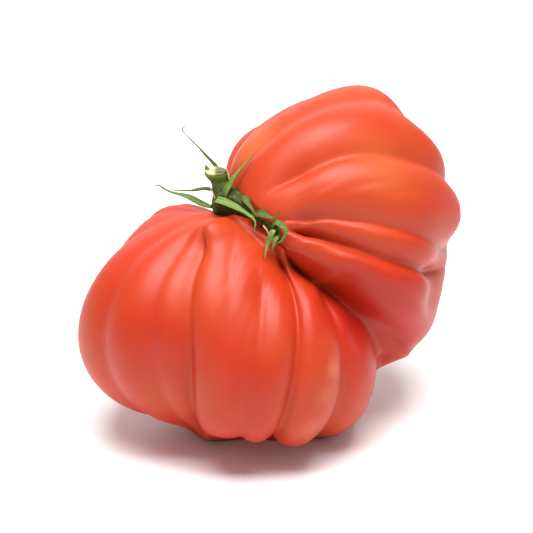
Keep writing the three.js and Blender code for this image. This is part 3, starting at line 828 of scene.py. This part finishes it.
# The stalk: a short stub of the fruit's stem, cut straight across. It is woody and ridged, swells
# below the cut and fans out into the calyx. The cut end is cream and pithy with a dark slit.
STALK_BODY, STALK_CUT = 4, 5
STALK_LINES = [
    (STALK_BODY, 0, [(-16.6, -4.4, 21, 5, 3.4), (-16.9, -3, 23.6, 4.3, 3), (-18, -1.4, 25.6, 3.3, 2.7),
                     (-19.4, -0.3, 27.4, 2.55, 2.5), (-20, 0, 28.6, 3.05, 2.9), (-20.25, 0, 29.4, 3.25, 3),
                     (-20.3, 0, 29.95, 3, 2.85)]),
    (STALK_CUT, 0, [(-20.3, 0, 29.8, 2.9, 2.8), (-20.3, 0, 30.2, 3.02, 2.88), (-20.3, 0, 30.38, 2.7, 2.55),
                    (-20.3, 0, 30.25, 1.7, 1.5), (-20.3, 0, 30.2, 0.5, 0.4), (-20.3, 0, 30.2, 0.1, 0.1)]),
    (STALK_BODY, 1, [(-22.5, 0.4, 29.2, 0.8, 0.7), (-22.8, 0.8, 30.6, 0.6, 0.55),
                     (-23.1, 1, 31.7, 0.15, 0.15)]),
]
STALK_RIBS = 5
STALK_RIB_HEIGHT = 0.045  # share of the radius
STALK_LINES_ROUND = 13  # fine lines between the ribs
STALK_LINE_HEIGHT = 0.02
STALK_GRAIN = 0.2  # mm
STALK_HAIR_LENGTH = 0.5
CUT_SLIT = (-19.1, -0.9, 30.2)  # from the fruit's middle


def stalk_tree():
    tree, (lines, finish, hair_length, hair_density) = dressed_tree("Ridged stalk")
    body, middle, wide_axis, thick_axis, ring, along = swept(lines, 60, level_axes)
    ring_x, ring_y, _ = parts_of(ring)
    angle = lines.math("ARCTAN2", ring_y, ring_x)
    height = parts_of(middle)[2] / MM
    ribs = STALK_RIB_HEIGHT * lines.math("SINE", angle * STALK_RIBS + 0.6)
    fine = STALK_LINE_HEIGHT * lines.math("SINE", angle * STALK_LINES_ROUND + height * 0.5)
    ribs = 1 + ribs + fine
    width = named(lines, "half_wide") * ribs
    depth = named(lines, "half_thick") * ribs
    stub = set_points(body, middle, wide_axis, thick_axis, ring_x * width, ring_y * depth)
    stub = stored(stub, along=along, side=ring_x)
    place = lines.node("GeometryNodeInputPosition")
    grain = noise(place.vector("MULTIPLY", place, (1.0, 1.0, 0.35)), 900.0, 3.0) - 0.5
    facing = lines.node("GeometryNodeInputNormal")
    offset = facing.vector("SCALE", facing, grain * STALK_GRAIN * MM)
    rough = lines.node("GeometryNodeSetPosition", {}, {0: stub, "Offset": offset})
    send_out(tree, with_hairs(rough, hair_density, hair_length, 9), finish)
    return tree


def stalk_material():
    material, shader, start = new_material("stalk_green")
    place = start.node("ShaderNodeTexCoord", {}, {}, "Object")
    kind = attribute(start, "kind")
    neck = (0.034, 0.042, 0.006, 1)
    head = (0.09, 0.15, 0.012, 1)
    cream = (0.50, 0.43, 0.23, 1)
    greenish = (0.12, 0.125, 0.035, 1)
    slit_brown = (0.04, 0.03, 0.015, 1)

    # Dark green at the neck and lighter at the swollen head
    grain = noise(place.vector("MULTIPLY", place, (1.0, 1.0, 0.3)), 700.0, 4.0, 0.6)
    height = (parts_of(place)[2] - FRUIT_MIDDLE.z) / MM + (grain - 0.5) * 2
    colour = start.blend("RGBA", height.step(26.2, 28.6), neck, head)

    # The cut end: cream on the left, greenish on the right, with a dark slit
    pith = noise(place, 800.0, 4.0, 0.65) - 0.5
    slit = FRUIT_MIDDLE + Vector(CUT_SLIT) * MM
    rightward = (parts_of(place)[0] - slit.x) / MM + pith * 3
    face = start.blend("RGBA", rightward.step(-2.2, -0.6), cream, greenish)
    reach = place.vector("MULTIPLY", place.vector("SUBTRACT", place, tuple(slit)), (0.6, 1.4, 0.5))
    away = place.vector("LENGTH", reach) / MM + pith * 1.6
    face = start.blend("RGBA", (1 - away.step(0.5, 1.2)) * 0.9, face, slit_brown)
    colour = start.blend("RGBA", is_kind(kind, STALK_CUT), colour, face)
    bumps = {"Strength": 0.6, "Distance": BUMP_HEIGHT, "Height": grain + pith}
    feed(
        shader,
        start,
        Base_Color=colour,
        Roughness=0.5 + 0.25 * grain,
        Normal=start.node("ShaderNodeBump", {}, bumps),
        Specular_IOR_Level=0.3,
    )
    return material


stalk_inputs = {
    "Finish": stalk_material(),
    "Hair Length": STALK_HAIR_LENGTH * MM,
    "Hair Density": HAIRS_PER_MM2 / MM / MM,
}
stalk = grown("tomato_stalk", stalk_tree(), stalk_inputs, lines_mesh("stalk_lines", STALK_LINES))
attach(stalk, "root")
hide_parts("stalk")


# The floor, backdrop and lights: a plain white table under broad soft light from above, and a
# camera that looks a little down on the fruit, as the photograph does.
PHOTO_SIZE = 533
PIXEL = 0.28 * MM  # at the fruit's middle
CAMERA_DISTANCE = 0.9
CAMERA_DOWN = math.radians(25)
FRUIT_MIDDLE_PIXEL = (289, 270)
SENSOR = 36
FLOOR_HALF = 3.0


def add_camera():
    right = Vector((1, 0, 0))
    up = Vector((0, math.sin(CAMERA_DOWN), math.cos(CAMERA_DOWN)))
    back = Vector((0, -math.cos(CAMERA_DOWN), math.sin(CAMERA_DOWN)))
    aim = FRUIT_MIDDLE + right * (PHOTO_SIZE / 2 - FRUIT_MIDDLE_PIXEL[0]) * PIXEL
    aim += up * (FRUIT_MIDDLE_PIXEL[1] - PHOTO_SIZE / 2) * PIXEL
    data = bpy.data.cameras.new("camera")
    data.sensor_width = SENSOR
    data.lens = SENSOR * CAMERA_DISTANCE / (PHOTO_SIZE * PIXEL)
    camera = bpy.data.objects.new("camera", data)
    camera.location = aim + back * CAMERA_DISTANCE
    camera.rotation_euler = Euler((math.pi / 2 - CAMERA_DOWN, 0, 0))
    bpy.context.scene.collection.objects.link(camera)
    bpy.context.scene.camera = camera


def add_floor():
    mesh = bpy.data.meshes.new("floor")
    signs = [(-1, -1), (1, -1), (1, 1), (-1, 1)]
    corners = [(across * FLOOR_HALF, back * FLOOR_HALF, 0) for across, back in signs]
    mesh.from_pydata(corners, [], [(0, 1, 2, 3)])
    floor = bpy.data.objects.new("floor", mesh)
    material, shader, start = new_material("floor_white")
    feed(shader, start, Base_Color=(0.95, 0.95, 0.95, 1), Roughness=0.6, Specular_IOR_Level=0.2)
    mesh.materials.append(material)
    bpy.context.scene.collection.objects.link(floor)


def add_light(name, place, aim, size, watts):
    data = bpy.data.lights.new(name, "AREA")
    data.shape = "RECTANGLE"
    data.size, data.size_y = size
    data.energy = watts
    light = bpy.data.objects.new(name, data)
    light.location = place
    light.rotation_euler = (Vector(aim) - Vector(place)).to_track_quat("-Z", "Y").to_euler()
    bpy.context.scene.collection.objects.link(light)


add_camera()
add_floor()
add_light("top_softbox", (0, -0.12, 0.8), (0, 0, 0.04), (0.66, 0.5), 13.5)
add_light("back_panel", (-0.1, 0.9, 0.5), (0, 0, 0.05), (1.4, 0.7), 4)
world = bpy.data.worlds.new("studio")
world.use_nodes = True
world.node_tree.nodes["Background"].inputs["Color"].default_value = (1, 1, 1, 1)
world.node_tree.nodes["Background"].inputs["Strength"].default_value = 0.42
bpy.context.scene.world = world
bpy.context.scene.view_settings.view_transform = "Standard"
